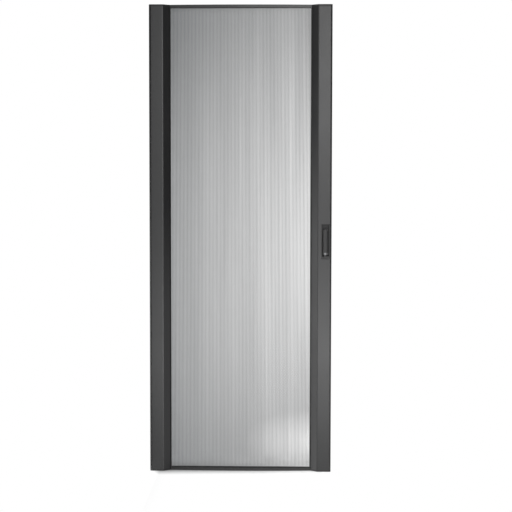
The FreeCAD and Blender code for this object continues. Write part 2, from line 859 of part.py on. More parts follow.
def make_crank():
    """The crank on the spindle's square, its spacer, drive pins, washer and screw."""
    spacer = new_body("spindle_spacer", handle_origin)
    spacer_bore = d.spindle_radius + d.running_clearance
    turn(spacer, "XY_Plane", "V_Axis", [
        (spacer_bore, floor_back + d.end_play),
        (d.spacer_radius, floor_back + d.end_play),
        (d.spacer_radius, crank_front),
        (spacer_bore, crank_front),
    ])
    plate = new_body("crank_plate", handle_origin)
    plate.setExpression("Placement.Rotation.Axis.y", "1")
    plate.setExpression("Placement.Rotation.Axis.z", "0")
    plate.setExpression("Placement.Rotation.Angle", str(-QUARTER))
    half = d.crank_width / 2
    outline = front_sketch(plate, crank_back)
    corners = [
        (d.crank_radius, -half),
        (d.crank_radius, half),
        (-d.crank_radius, half),
        (-d.crank_radius, -half),
    ]
    draw_outline(outline, corners, {0: ((d.crank_radius, 0), True), 2: ((-d.crank_radius, 0), True)})
    extrude(plate, outline, d.crank_thickness)
    holes = front_sketch(plate, crank_front)
    for side in (-1, 1):
        draw_circle(holes, (side * d.crank_radius, 0), d.drive_pin_radius)
    cut(plate, holes, d.crank_thickness)
    square = front_sketch(plate, crank_front)
    turned_half = d.spindle_square * cosine(QUARTER)
    draw_outline(square, [(turned_half, 0), (0, turned_half), (-turned_half, 0), (0, -turned_half)])
    cut(plate, square, d.crank_thickness)
    pins = new_body("drive_pins", handle_origin)
    shank_end = rod_back + d.rod_gap
    for radius, start, length in (
        (d.drive_pin_radius, crank_front, shank_end - crank_front),
        (d.drive_pin_head, shank_end, d.drive_pin_cap),
    ):
        circles = front_sketch(pins, start)
        for side in (-1, 1):
            draw_circle(circles, (side * pin_reach, side * pin_rise), radius)
        extrude(pins, circles, length, turned=True)
    washer = new_body("crank_washer", handle_origin)
    turn(washer, "XY_Plane", "V_Axis", [
        (d.crank_screw_radius + d.screw_clearance, crank_back),
        (d.crank_washer_radius, crank_back),
        (d.crank_washer_radius, rod_front),
        (d.crank_screw_radius + d.screw_clearance, rod_front),
    ])
    screw = new_body("crank_screw", handle_origin)
    turn(screw, "XY_Plane", "V_Axis", [
        (0, crank_back - d.crank_screw_length),
        (d.crank_screw_radius, crank_back - d.crank_screw_length),
        (d.crank_screw_radius, rod_front),
        (d.crank_screw_head, rod_front),
        (d.crank_screw_head, rod_front + d.screw_head_height),
        (0, rod_front + d.screw_head_height),
    ])


def cut_yoke_slot(body, side):
    """A level slot in which the crank's pin slides while it lifts or lowers the rod."""
    slot = front_sketch(body, rod_front)
    near_end = pin_reach - slot_half
    far_end = d.crank_radius + slot_half
    rise = side * pin_rise
    ends = sorted((side * near_end, side * far_end), key=lambda size: size.value)
    draw_box(slot, (ends[0], rise - slot_half), (ends[1], rise + slot_half))
    cut(body, slot, d.rod_thickness)


def make_rods():
    """Two flat rods driven by the crank, each with a moulded tip."""
    socket_end = tip_clear + d.tip_length - d.tip_socket
    top = d.door_height - socket_end - d.spindle_height
    bottom = d.spindle_height - socket_end
    upper = new_body("upper_latch_rod", handle_origin)
    outline = front_sketch(upper, rod_back)
    draw_box(outline, (rod_near, yoke_end), (rod_far, top))
    extrude(upper, outline, d.rod_thickness)
    cut_yoke_slot(upper, 1)
    lower = new_body("lower_latch_rod", handle_origin)
    outline = front_sketch(lower, rod_back)
    jog_end = d.jog_drop + d.rod_width
    draw_outline(outline, [
        (-rod_far, -yoke_end),
        (-rod_far, -jog_end),
        (rod_near, -jog_end),
        (rod_near, -bottom),
        (rod_far, -bottom),
        (rod_far, -d.jog_drop),
        (-rod_near, -d.jog_drop),
        (-rod_near, -yoke_end),
    ])
    extrude(lower, outline, d.rod_thickness)
    cut_yoke_slot(lower, -1)


def make_tip(label, upper):
    """A moulded sleeve on a rod's end, tapered where it meets the cabinet's keeper."""
    end = d.door_height - tip_clear if upper else tip_clear
    way = -1 if upper else 1
    rod_middle = front_plane + (rod_front + rod_back) / 2
    body = new_body(label, (spindle_x + d.rod_offset, rod_middle, end))
    half_width = d.rod_width / 2
    half_depth = d.rod_thickness / 2
    block = add_sketch(body, "XY_Plane")
    reach = (half_width + d.tip_wall, half_depth + d.tip_wall)
    draw_box(block, (-reach[0], -reach[1]), reach)
    extrude(body, block, d.tip_length, turned=upper)
    socket = add_sketch(body, "XY_Plane", way * d.tip_length)
    draw_box(socket, (-half_width, -half_depth), (half_width, half_depth))
    cut(body, socket, d.tip_socket, turned=upper)
    dress(body, "Chamfer", "Size", d.tip_taper, lambda edge: near(edge.BoundBox.ZLength, 0)
          and near(edge.CenterOfMass.z, 0) and along(edge, "x"))


def make_guide(label, height):
    """A moulded guide on the stile's side wall that a rod slides through."""
    body = new_body(label, (right_edge - d.stile_gauge, front_plane, height))
    to_spindle = d.handle_inset - d.stile_gauge
    low = (rod_near - to_spindle - d.guide_clearance, rod_front - d.guide_clearance)
    high = (rod_far - to_spindle + d.guide_clearance, rod_back + d.guide_clearance)
    block = add_sketch(body, "XY_Plane")
    draw_box(block, (low[0] - d.guide_wall, low[1] - d.guide_wall), (0, high[1] + d.guide_wall))
    extrude(body, block, d.guide_height)
    slot = add_sketch(body, "XY_Plane", d.guide_height)
    draw_box(slot, low, high)
    cut(body, slot, d.guide_height)
    boss = add_sketch(body, "YZ_Plane")
    draw_circle(boss, ((rod_front + rod_back) / 2, d.guide_height / 2), d.guide_boss)
    extrude(body, boss, d.stile_gauge)


def make_ground_stud():
    """A welded stud inside the left stile with its washer and nut, its free end turned down."""
    origin = (left_edge + d.stile_gauge, front_plane + d.door_depth / 2, d.ground_height)
    washer_end = d.stud_foot + d.ground_washer
    shank_end = washer_end + d.ground_nut_height + d.stud_show
    stud = new_body("ground_stud", origin)
    turn(stud, "XY_Plane", "H_Axis", [
        (0, 0),
        (0, d.stud_foot_radius),
        (d.stud_foot, d.stud_foot_radius),
        (d.stud_foot, d.stud_radius),
        (shank_end, d.stud_radius),
        (shank_end, d.stud_end_radius),
        (d.stud_length, d.stud_end_radius),
        (d.stud_length, 0),
    ])
    bore = d.stud_radius + d.screw_clearance
    washer = new_body("ground_washer", origin)
    turn(washer, "XY_Plane", "H_Axis", [
        (d.stud_foot, bore),
        (d.stud_foot, d.ground_washer_radius),
        (washer_end, d.ground_washer_radius),
        (washer_end, bore),
    ])
    nut = new_body("ground_nut", origin)
    outline = add_sketch(nut, "YZ_Plane", washer_end)
    corner_radius = d.ground_nut_width / math.sqrt(3)
    turns = [360 * side / HEX_SIDES for side in range(HEX_SIDES)]
    draw_outline(outline, [(corner_radius * cosine(angle), corner_radius * sine(angle)) for angle in turns])
    extrude(nut, outline, d.ground_nut_height)
    hole = add_sketch(nut, "YZ_Plane", washer_end + d.ground_nut_height)
    draw_circle(hole, (0, 0), bore)
    cut(nut, hole, d.ground_nut_height)


def make_bumpers():
    """Four rubber bumpers on the rear lips, which meet the cabinet's frame."""
    body = new_body("door_bumpers", (0, rear_plane, 0))
    circles = front_sketch(body, 0)
    for across in (left_edge + d.bumper_inset, right_edge - d.bumper_inset):
        for height in (d.bumper_height_from_end, d.door_height - d.bumper_height_from_end):
            draw_circle(circles, (across, height), d.bumper_radius)
    extrude(body, circles, d.bumper_height, turned=True)
    dress(body, "Chamfer", "Size", d.bumper_chamfer, level_at("y", d.bumper_height))


def describe(item):
    owner = item.getParentGeoFeatureGroup()
    return f"{item.Label} of {owner.Label if owner else 'the document'}"


def check_shapes():
    """Stops if any object failed, any cut removed nothing or any piece isn't a valid solid."""
    failed = [item for item in doc.Objects if "Invalid" in item.State or "Error" in item.State]
    if failed:
        raise RuntimeError("failed: " + ", ".join(describe(item) for item in failed))
    for feature in cuts:
        if not feature.Shape.Volume < feature.BaseFeature.Shape.Volume - 1e-6:
            raise RuntimeError(f"{feature.Label} removes nothing")
    for node in nodes:
        if node.Shape.isNull() or not node.Shape.isValid() or not node.Shape.Solids:
            raise RuntimeError(f"{node.Label} is not a valid solid")


def main():
    make_stile("left_stile", 1, left_edge)
    open_right_stile(make_stile("right_stile", -1, right_edge))
    make_panel()
    make_rail("top_rail", True)
    make_rail("bottom_rail", False)
    make_cap("upper_left_cap", 1, left_edge, True, True)
    make_cap("lower_left_cap", 1, left_edge, False, True)
    make_cap("upper_right_cap", -1, right_edge, True, False)
    make_cap("lower_right_cap", -1, right_edge, False, False)
    make_hinge("upper", True)
    make_hinge("lower", False)
    make_dish()
    make_gasket()
    upper_screw, lower_screw = clamp_screw_heights()
    make_clamp("upper_dish_clamp", dish_body_top, 1, upper_screw)
    make_clamp("lower_dish_clamp", -dish_body_bottom, -1, lower_screw)
    make_clamp_screws()
    make_spindle()
    pin = new_body("grip_pin", handle_origin)
    axis = add_sketch(pin, "YZ_Plane", -grip_radius)
    draw_circle(axis, (pin_depth, 0), d.pin_radius)
    extrude(pin, axis, d.grip_width)
    make_grip()
    make_lock()
    make_crank()
    make_rods()
    make_tip("upper_rod_tip", True)
    make_tip("lower_rod_tip", False)
    names = ("lower_end_guide", "lower_middle_guide", "upper_middle_guide", "upper_end_guide")
    for name, height in zip(names, guide_heights()):
        make_guide(name, height)
    make_ground_stud()
    make_bumpers()
    doc.recompute()
    check_shapes()
    os.makedirs("parts", exist_ok=True)
    for node in nodes:
        node.Shape.exportStep(f"parts/{node.Label}.step")


main()
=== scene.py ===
import json
import math

import bpy
import numpy as np
from bpy.props import FloatProperty, FloatVectorProperty, IntProperty, PointerProperty
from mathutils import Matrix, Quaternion, Vector


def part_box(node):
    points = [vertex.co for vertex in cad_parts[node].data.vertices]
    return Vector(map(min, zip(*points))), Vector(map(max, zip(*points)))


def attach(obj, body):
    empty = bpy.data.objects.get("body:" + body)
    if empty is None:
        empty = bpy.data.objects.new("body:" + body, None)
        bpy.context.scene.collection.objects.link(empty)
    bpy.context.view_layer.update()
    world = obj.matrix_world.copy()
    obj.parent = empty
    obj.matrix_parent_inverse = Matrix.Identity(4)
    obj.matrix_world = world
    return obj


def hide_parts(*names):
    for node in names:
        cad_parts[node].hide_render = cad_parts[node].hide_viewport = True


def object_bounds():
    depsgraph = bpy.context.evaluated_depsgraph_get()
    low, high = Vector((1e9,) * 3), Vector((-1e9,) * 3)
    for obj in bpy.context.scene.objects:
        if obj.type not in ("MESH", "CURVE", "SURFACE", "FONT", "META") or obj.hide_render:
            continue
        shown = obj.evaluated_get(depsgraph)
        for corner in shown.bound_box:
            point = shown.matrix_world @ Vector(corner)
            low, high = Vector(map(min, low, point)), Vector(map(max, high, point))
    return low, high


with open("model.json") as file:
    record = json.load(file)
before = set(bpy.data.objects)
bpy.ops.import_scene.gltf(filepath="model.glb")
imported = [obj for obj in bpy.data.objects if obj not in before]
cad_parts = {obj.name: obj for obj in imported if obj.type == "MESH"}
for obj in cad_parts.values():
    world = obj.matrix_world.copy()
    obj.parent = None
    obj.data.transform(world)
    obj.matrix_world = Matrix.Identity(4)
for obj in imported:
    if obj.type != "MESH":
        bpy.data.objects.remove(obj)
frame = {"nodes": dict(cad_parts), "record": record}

bl_info = {
    "name": "Perforated rack door",
    "version": (1, 0, 0),
    "blender": (4, 5, 0),
    "location": "View3D > Sidebar > Rack Door",
    "description": "Dresses a rack cabinet's door: pierced panel, finishes and a studio stage",
    "category": "Object",
}

OWN_NAME = "rack_door_"
CAD_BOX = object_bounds()
DOOR_MIDDLE = (CAD_BOX[0] + CAD_BOX[1]) / 2
PANEL_LOW, PANEL_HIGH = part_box("perforated_panel")
HEX_SIDES = 6
HEX_TURN = math.radians(360 / HEX_SIDES)
QUARTER_TURN = math.radians(90)
SMOOTH_ANGLE = math.radians(30)
MERGE_DISTANCE = 1e-5
FOLD_STEPS = 5
RIM_STEPS = 48
MAP_SLANT = 0.6
FLOOR_GAP = 0.002
FLOOR_LENGTH = 12.0
BACKDROP_WIDTH = 14.0
WALL_HEIGHT = 6.0
COVE_RADIUS = 0.06
COVE_STEPS = 16
FLOOR_FADE = 0.1
# Soft edges of the door's painted shadow on the backdrop: EDGE_FADE at the sides, TOP_RISE and TOP_FADE at
# the top
EDGE_FADE = 0.04
TOP_RISE = 0.003
TOP_FADE = 0.01
LINE_STRETCH = (1, 1, 0.02)
ROLL_STRETCH = (1, 1, 0.03)
FLAG_FRONT = 0.25
FAR_FLAG_FRONT = 0.7
FLAG_REAR = 0.3
FLAG_TOP = 2.2
FAR_FLAG_FOOT = 0.75
FAR_FLAG_TOP = 4.0
VIEW_END = 100.0

# Places of the colours among the Mix node's sockets
MIX_FIRST = 6
MIX_SECOND = 7
MIX_RESULT = 2


class RackDoorPanelSizes(bpy.types.PropertyGroup):
    """Sizes of the pierced panel."""

    column_pitch: FloatProperty(
        name="Column pitch",
        description="Distance between neighbouring columns of holes",
        default=0.00567,
        unit="LENGTH",
    )
    row_pitch: FloatProperty(
        name="Row pitch",
        description="Distance between neighbouring holes of a column",
        default=0.00655,
        unit="LENGTH",
    )
    hole_width: FloatProperty(
        name="Hole width", description="Width of a hole at its middle", default=0.0051, unit="LENGTH"
    )
    hole_flat: FloatProperty(
        name="Hole flat", description="Width of a hole at its top and bottom", default=0.0045, unit="LENGTH"
    )
    hole_height: FloatProperty(
        name="Hole height", description="Height of a hole", default=0.006, unit="LENGTH"
    )
    bow: FloatProperty(
        name="Bow",
        description="How far the middle of the sheet stands forward of its sides",
        default=0.012,
        unit="LENGTH",
    )
    gauge: FloatProperty(
        name="Sheet gauge", description="Thickness of the sheet", default=0.0012, unit="LENGTH"
    )
    side_margin: FloatProperty(
        name="Side margin",
        description="Plain strip between the folded side and the holes",
        default=0.005,
        unit="LENGTH",
    )
    upper_rim: FloatProperty(
        name="Upper rim",
        description="Height of the plain strip at the panel's top",
        default=0.012,
        unit="LENGTH",
    )
    lower_rim: FloatProperty(
        name="Lower rim",
        description="Height of the plain strip at the panel's bottom",
        default=0.007,
        unit="LENGTH",
    )
    fold_radius: FloatProperty(
        name="Fold radius",
        description="Outer radius where the sheet turns back",
        default=0.0025,
        unit="LENGTH",
    )
    overlap: FloatProperty(
        name="Edge lap",
        description="How far the plain edges stand over the pierced sheet on each face",
        default=0.00005,
        unit="LENGTH",
    )
    bands: IntProperty(
        name="Bands", description="Number of bands the pierced sheet is modelled in", default=5, min=1
    )


class RackDoorFinishes(bpy.types.PropertyGroup):
    """Colours of the finishes."""

    coat: FloatVectorProperty(
        name="Powder coat",
        description="Satin black coat on the sheet steel",
        default=(0.012, 0.012, 0.0124),
        subtype="COLOR",
    )
    plastic: FloatVectorProperty(
        name="Black moulding",
        description="Caps, handle, guides and rod tips",
        default=(0.012, 0.012, 0.0122),
        subtype="COLOR",
    )
    nylon: FloatVectorProperty(
        name="Natural nylon", description="Hinge bushes", default=(0.72, 0.71, 0.66), subtype="COLOR"
    )
    zinc: FloatVectorProperty(
        name="Zinc plating",
        description="Latch rods, crank, clamps and screws",
        default=(0.56, 0.57, 0.58),
        subtype="COLOR",
    )
    chrome: FloatVectorProperty(
        name="Lock plating",
        description="Lock plug",
        default=(0.16, 0.16, 0.165),
        subtype="COLOR",
    )
    black_zinc: FloatVectorProperty(
        name="Black zinc",
        description="Lock barrel, cam and spindle",
        default=(0.03, 0.03, 0.032),
        subtype="COLOR",
    )
    rubber: FloatVectorProperty(
        name="Rubber", description="Bumpers and gasket", default=(0.018, 0.018, 0.018), subtype="COLOR"
    )


class RackDoorStage(bpy.types.PropertyGroup):
    """Camera, backdrop and lamps."""

    aim: FloatVectorProperty(
        name="Aim",
        description="Point of the door's plane in the middle of the picture",
        default=(0.4213, 0.0, 0.8918),
        subtype="TRANSLATION",
    )
    distance: FloatProperty(
        name="Distance", description="From the camera to the aim", default=6.0, unit="LENGTH"
    )
    yaw: FloatProperty(
        name="Yaw",
        description="How far the camera stands to the right",
        default=math.radians(1.528),
        unit="ROTATION",
    )
    pitch: FloatProperty(
        name="Pitch",
        description="How far the camera looks down",
        default=math.radians(3.656),
        unit="ROTATION",
    )
    roll: FloatProperty(
        name="Roll",
        description="Turn of the camera about its own axis",
        default=math.radians(0.081),
        unit="ROTATION",
    )
    lens: FloatProperty(name="Lens", description="Focal length", default=102.28, unit="CAMERA")
    backdrop_gap: FloatProperty(
        name="Backdrop gap",
        description="From the door's rear to the backdrop",
        default=0.1,
        unit="LENGTH",
    )
    paper: FloatVectorProperty(
        name="Paper", description="Colour of the backdrop", default=(0.38, 0.39, 0.398), subtype="COLOR"
    )
    # Painted pool of light: a soft disc of plain white painted on the backdrop behind the door and seen
    # through the holes; its share, middle and spread
    painted_pool_glow: FloatProperty(
        name="Halo glow",
        description="Share of plain white in the middle of the backdrop's halo",
        default=1.0,
        subtype="FACTOR",
    )
    painted_pool_centre: FloatVectorProperty(
        name="Halo centre",
        description="Middle of the halo, across and up",
        default=(0.78, 0.88),
        size=2,
        unit="LENGTH",
    )
    painted_pool_reach: FloatVectorProperty(
        name="Halo reach",
        description="How far the halo spreads, across and up",
        default=(0.95, 1.55),
        size=2,
        unit="LENGTH",
    )
    # Painted light spot: a small disc of plain white painted low on the backdrop behind the door and seen
    # through the holes; its share, middle and spread
    painted_spot_glow: FloatProperty(
        name="Spot glow",
        description="Share of plain white that a light spot low on the backdrop adds",
        default=0.6,
        subtype="FACTOR",
    )
    painted_spot_centre: FloatVectorProperty(
        name="Spot centre",
        description="Middle of the light spot, across and up",
        default=(0.67, 0.095),
        size=2,
        unit="LENGTH",
    )
    painted_spot_reach: FloatVectorProperty(
        name="Spot reach",
        description="How far the light spot spreads, across and up",
        default=(0.3, 0.14),
        size=2,
        unit="LENGTH",
    )
    # Soft upright streaks in the painted pool of light and light spot: how many in a metre, and how far
    # they darken and lighten them
    line_scale: FloatProperty(
        name="Line scale", description="Number of upright lines in a metre of the backdrop", default=45.0
    )
    line_depth: FloatProperty(
        name="Line depth",
        description="How far the upright lines darken and lighten the backdrop",
        default=0.4,
        subtype="FACTOR",
    )
    floor_glow: FloatProperty(
        name="Floor glow",
        description="Share of plain white that is added on the floor before the door",
        default=0.95,
        subtype="FACTOR",
    )
    flag_gap: FloatProperty(
        name="Flag gap",
        description="From the door's left side to the dark flag beside it",
        default=0.045,
        unit="LENGTH",
    )
    far_flag_gap: FloatProperty(
        name="Far flag gap",
        description="From the door's right side to the dark flag there",
        default=0.87,
        unit="LENGTH",
    )
    key_power: FloatProperty(
        name="Key lamp", description="Wide soft lamp high in front", default=58.0, unit="POWER"
    )
    key_place: FloatVectorProperty(
        name="Key place",
        description="From the door's middle to the key lamp",
        default=(0.85, -4.4, 0.95),
        subtype="TRANSLATION",
    )
    key_size: FloatVectorProperty(
        name="Key size",
        description="Width and height of the key lamp",
        default=(2.2, 0.8),
        size=2,
        unit="LENGTH",
    )
    low_key_power: FloatProperty(
        name="Low key lamp", description="Wide soft lamp low in front", default=25.0, unit="POWER"
    )
    low_key_place: FloatVectorProperty(
        name="Low key place",
        description="From the door's middle to the low key lamp",
        default=(0.5, -2.4, -0.76),
        subtype="TRANSLATION",
    )
    low_key_size: FloatVectorProperty(
        name="Low key size",
        description="Width and height of the low key lamp",
        default=(2.2, 0.4),
        size=2,
        unit="LENGTH",
    )
    strip_power: FloatProperty(
        name="Strip lamp", description="Soft lamp low at the left", default=56.0, unit="POWER"
    )
    strip_place: FloatVectorProperty(
        name="Strip place",
        description="From the door's middle to the strip lamp",
        default=(-2.6, -0.5, -0.72),
        subtype="TRANSLATION",
    )
    strip_size: FloatVectorProperty(
        name="Strip size",
        description="Width and height of the strip lamp",
        default=(1, 1),
        size=2,
        unit="LENGTH",
    )
    rear_power: FloatProperty(
        name="Rear lamp", description="Soft lamp behind the door", default=40.0, unit="POWER"
    )
    rear_place: FloatVectorProperty(
        name="Rear place",
        description="From the door's middle to the rear lamp",
        default=(-0.8, 3.0, 1.4),
        subtype="TRANSLATION",
    )
    rear_size: FloatVectorProperty(
        name="Rear size",
        description="Width and height of the rear lamp",
        default=(1.8, 1.8),
        size=2,
        unit="LENGTH",
    )
    room_light: FloatProperty(
        name="Room light", description="Strength of the light from all round", default=0.5
    )


def settings(group):
    return getattr(bpy.context.scene, OWN_NAME + group)


class Value:
    """A node's output on which Python's operators add Math nodes."""

    def __init__(self, shader, socket):
        self.shader = shader
        self.socket = socket

    def maths(self, operation, *values):
        return self.shader.add("Math", {"operation": operation}, dict(enumerate(values)))

    def __add__(self, other):
        return self.maths("ADD", self, other)

    def __sub__(self, other):
        return self.maths("SUBTRACT", self, other)

    def __mul__(self, other):
        return self.maths("MULTIPLY", self, other)

    def __abs__(self):
        return self.maths("ABSOLUTE", self)

    __radd__ = __add__
    __rmul__ = __mul__


class Shader:
    """The emptied node tree of a material or world."""

    def __init__(self, owner):
        owner.use_nodes = True
        self.tree = owner.node_tree
        self.tree.nodes.clear()

    def add(self, kind, options, sockets, output=0):
        node = self.tree.nodes.new("ShaderNode" + kind)
        for name, value in options.items():
            setattr(node, name, value)
        for name, value in sockets.items():
            if isinstance(value, Value):
                self.tree.links.new(value.socket, node.inputs[name])
            else:
                node.inputs[name].default_value = value
        return Value(self, node.outputs[output] if node.outputs else None)

    def spot(self):
        return self.add("TexCoord", {}, {}, "Object")

    def place(self, stretch=(1, 1, 1)):
        return self.add("Mapping", {}, {"Vector": self.spot(), "Scale": stretch})

    def along(self, spot, axis):
        return self.add("SeparateXYZ", {}, {"Vector": spot}, axis)

    def noise(self, place, scale, detail):
        return self.add("TexNoise", {}, {"Vector": place, "Scale": scale, "Detail": detail})

    def fade(self, value, start, end):
        """Rises from zero to one between two values."""
        return self.add("MapRange", {}, {"Value": value, "From Min": start, "From Max": end})

    def mottled(self, colour, pattern, low, high):
        """A colour that a pattern takes from a darker shade to a lighter one."""
        sockets = {0: pattern, MIX_FIRST: tinted(colour, low), MIX_SECOND: tinted(colour, high)}
        return self.add("Mix", {"data_type": "RGBA"}, sockets, MIX_RESULT)

    def surface(self, sockets):
        body = self.add("BsdfPrincipled", {}, sockets)
        self.add("OutputMaterial", {}, {"Surface": body})


def tinted(colour, share):
    return tuple(min(1.0, part * share) for part in colour) + (1.0,)


def new_shader(finish):
    return Shader(bpy.data.materials.new(OWN_NAME + finish))


def powder_coat():
    """Satin black coat with a fine orange-peel grain."""
    colour = settings("finishes").coat
    shader = new_shader("powder_coat")
    place = shader.place()
    cloud = shader.noise(place, scale=6.0, detail=3.0)
    grain = shader.noise(place, scale=900.0, detail=2.0)
    bump = shader.add("Bump", {}, {"Strength": 0.12, "Distance": 0.0004, "Height": grain})
    shader.surface({
        "Base Color": shader.mottled(colour, cloud, low=0.92, high=1.08),
        "Roughness": 0.3 + 0.1 * cloud,
        "Specular IOR Level": 0.43,
        "Normal": bump,
    })


def black_moulding():
    """Fine-textured black plastic."""
    colour = settings("finishes").plastic
    shader = new_shader("black_plastic")
    place = shader.place()
    cloud = shader.noise(place, scale=40.0, detail=2.0)
    grain = shader.noise(place, scale=1500.0, detail=1.0)
    bump = shader.add("Bump", {}, {"Strength": 0.1, "Distance": 0.0003, "Height": grain})
    shader.surface({
        "Base Color": shader.mottled(colour, cloud, low=0.9, high=1.1),
        "Roughness": 0.44 + 0.1 * cloud,
        "Specular IOR Level": 0.36,
        "Normal": bump,
    })


def natural_nylon():
    colour = settings("finishes").nylon
    shader = new_shader("nylon")
    cloud = shader.noise(shader.place(), scale=120.0, detail=2.0)
    shader.surface({
        "Base Color": shader.mottled(colour, cloud, low=0.95, high=1.05),
        "Roughness": 0.5 + 0.1 * cloud,
        "Subsurface Weight": 0.05,
    })


def zinc_plating():
    """Bright zinc with the faint lengthwise lines of rolled steel."""
    colour = settings("finishes").zinc
    shader = new_shader("zinc_steel")
    lines = shader.noise(shader.place(ROLL_STRETCH), scale=700.0, detail=3.0)
    cloud = shader.noise(shader.place(), scale=60.0, detail=3.0)
    shader.surface({
        "Base Color": shader.mottled(colour, cloud, low=0.88, high=1.1),
        "Roughness": 0.28 + 0.14 * lines,
        "Metallic": 1.0,
    })


def lock_plating():
    colour = settings("finishes").chrome
    shader = new_shader("lock_chrome")
    scuff = shader.noise(shader.place(), scale=500.0, detail=4.0)
    shader.surface({
        "Base Color": shader.mottled(colour, scuff, low=0.92, high=1.05),
        "Roughness": 0.42 + 0.16 * scuff,
        "Metallic": 1.0,
    })


def black_plating():
    colour = settings("finishes").black_zinc
    shader = new_shader("black_zinc")
    cloud = shader.noise(shader.place(), scale=200.0, detail=3.0)
    shader.surface({
        "Base Color": shader.mottled(colour, cloud, low=0.85, high=1.15),
        "Roughness": 0.4 + 0.15 * cloud,
    })


def black_rubber():
    colour = settings("finishes").rubber
    shader = new_shader("rubber")
    cloud = shader.noise(shader.place(), scale=300.0, detail=2.0)
    shader.surface({
        "Base Color": shader.mottled(colour, cloud, low=0.85, high=1.15),
        "Roughness": 0.75 + 0.12 * cloud,
    })


def clear_selection():
    if bpy.context.object and bpy.context.object.mode != "OBJECT":
        bpy.ops.object.mode_set(mode="OBJECT")
    bpy.ops.object.select_all(action="DESELECT")


def only(obj):
    clear_selection()
    obj.select_set(True)
    bpy.context.view_layer.objects.active = obj


def edit(obj, kind="VERT"):
    only(obj)
    bpy.ops.object.mode_set(mode="EDIT")
    bpy.ops.mesh.select_mode(type=kind)


def finish_edit():
    bpy.ops.object.mode_set(mode="OBJECT")


def select_points(obj, points):
    """Selects the vertices of a mesh that lie at the given points, in edit mode."""
    edit(obj)
    bpy.ops.mesh.select_all(action="DESELECT")
    finish_edit()
    for vertex in obj.data.vertices:
        vertex.select = any((vertex.co - point).length < MERGE_DISTANCE for point in points)
    edit(obj)


def new_piece(name):
    """Names the primitive that was just added and moves its place into its mesh."""
    obj = bpy.context.object
    obj.name = obj.data.name = name
    bpy.ops.object.transform_apply(location=True, rotation=True, scale=True)
    return obj


def apply_modifier(obj, kind, **options):
    only(obj)
    modifier = obj.modifiers.new(kind.title(), kind)
    for name, value in options.items():
        setattr(modifier, name, value)
    bpy.ops.object.modifier_apply(modifier=modifier.name)


def repeat(obj, count, step):
    apply_modifier(
        obj, "ARRAY", count=count, use_relative_offset=False, use_constant_offset=True,
        constant_offset_displace=step,
    )


def dress(obj, finish):
    obj.data.materials.clear()
    obj.data.materials.append(bpy.data.materials[OWN_NAME + finish])


class RACKDOOR_OT_finishes(bpy.types.Operator):
    """Mixes the finishes and gives every solid of the door its own"""

    bl_idname = "rackdoor.finishes"
    bl_label = "Finishes"

    def execute(self, context):
        for mix_finish in FINISHES:
            mix_finish()
        for part in frame["record"]["subparts"]:
            dress(frame["nodes"][part["node"]], part["material_slot"])
        return {"FINISHED"}


def bow_front(across):
    """Depth of the bowed sheet's front face at a place across the door."""
    bow = settings("panel").bow
    half = (PANEL_HIGH.x - PANEL_LOW.x) / 2
    radius = (half**2 + bow**2) / (2 * bow)
    offset = across - PANEL_LOW.x - half
    return PANEL_LOW.y + radius - np.sqrt(radius**2 - offset**2)


def bow_sheet(obj, forward):
    """Moves a flat upright sheet onto the panel's bow, a little forward of it if wanted."""
    spots = np.empty(3 * len(obj.data.vertices))
    obj.data.vertices.foreach_get("co", spots)
    spots = spots.reshape(-1, 3)
    spots[:, 1] = bow_front(spots[:, 0]) - forward
    obj.data.vertices.foreach_set("co", spots.ravel())
    obj.data.update()


def turn_faces(obj, way):
    """Makes the faces of a sheet agree, and look the given way on the whole."""
    edit(obj)
    bpy.ops.mesh.select_all(action="SELECT")
    bpy.ops.mesh.normals_make_consistent(inside=False)
    finish_edit()
    if sum(face.normal.dot(way) * face.area for face in obj.data.polygons) < 0:
        edit(obj)
        bpy.ops.mesh.select_all(action="SELECT")
        bpy.ops.mesh.flip_normals()
        finish_edit()


def thicken(obj, gauge):
    """Gives a sheet its gauge, behind the face that looks to the front."""
    turn_faces(obj, Vector((0, -1, 0)))
    apply_modifier(obj, "SOLIDIFY", thickness=gauge, offset=-1.0)


def map_sheet(obj):
    """Lays out the sheet's own map as seen from the front, slanted so that the holes' walls have width."""
    spots = np.empty(3 * len(obj.data.vertices))
    obj.data.vertices.foreach_get("co", spots)
    spots = spots.reshape(-1, 3) - np.array(PANEL_LOW)
    corners = np.empty(len(obj.data.loops), dtype=int)
    obj.data.loops.foreach_get("vertex_index", corners)
    flat = (spots[:, [0, 2]] + MAP_SLANT * spots[:, [1]])[corners]
    flat -= flat.min(axis=0)
    layer = obj.data.uv_layers.new(name="OFBake")
    layer.uv.foreach_set("vector", (flat / flat.max()).ravel())


